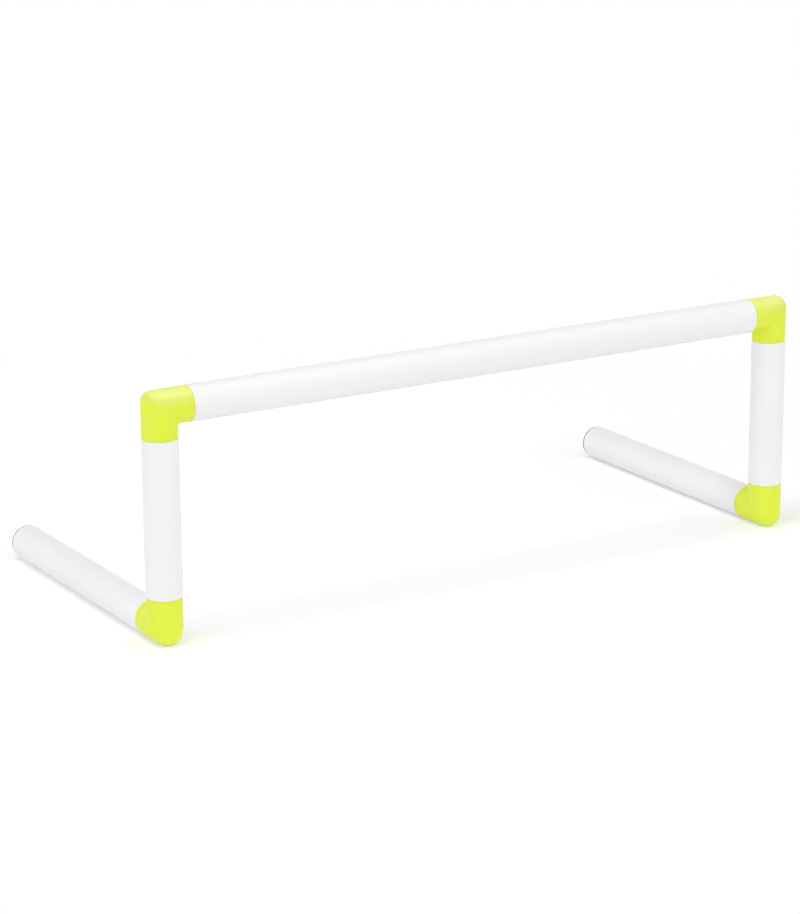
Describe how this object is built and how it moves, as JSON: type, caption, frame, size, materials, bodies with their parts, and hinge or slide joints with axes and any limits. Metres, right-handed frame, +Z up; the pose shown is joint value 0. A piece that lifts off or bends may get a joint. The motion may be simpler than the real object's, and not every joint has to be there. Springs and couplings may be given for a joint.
{
  "type": "speed hurdle",
  "caption": "Low training hurdle of straight plastic tubes pushed onto moulded elbows, with plugged feet that run back along the floor and swivel for storage.",
  "frame": {"origin": "on the floor below the middle of the hurdle", "axes": "+X along the crossbar, +Y back towards the feet's free ends, +Z up"},
  "size_m": [0.45, 0.2, 0.15],
  "materials": {
    "tube_white": "satin white",
    "elbow_yellow": "satin neon yellow",
    "plug_black": "matt black"
  },
  "bodies": {
    "crossbar": {"crossbar": "tube_white"},
    "left_leg": {"left_top_elbow": "elbow_yellow", "left_upright": "tube_white"},
    "left_foot": {"left_bottom_elbow": "elbow_yellow", "left_foot_tube": "tube_white", "left_end_plug": "plug_black"},
    "right_leg": {"right_top_elbow": "elbow_yellow", "right_upright": "tube_white"},
    "right_foot": {"right_bottom_elbow": "elbow_yellow", "right_foot_tube": "tube_white", "right_end_plug": "plug_black"}
  },
  "joints": [
    {"name": "left_leg_swing", "type": "hinge", "parent": "crossbar", "child": "left_leg", "pos_m": [-0.21435, -0.08935, 0.13935], "axis": [1, 0, 0], "continuous": true},
    {"name": "left_foot_swivel", "type": "hinge", "parent": "left_leg", "child": "left_foot", "pos_m": [-0.21435, -0.08935, 0.01065], "axis": [0, 0, -1], "continuous": true},
    {"name": "right_leg_swing", "type": "hinge", "parent": "crossbar", "child": "right_leg", "pos_m": [0.21435, -0.08935, 0.13935], "axis": [1, 0, 0], "continuous": true},
    {"name": "right_foot_swivel", "type": "hinge", "parent": "right_leg", "child": "right_foot", "pos_m": [0.21435, -0.08935, 0.01065], "axis": [0, 0, 1], "continuous": true}
  ]
}
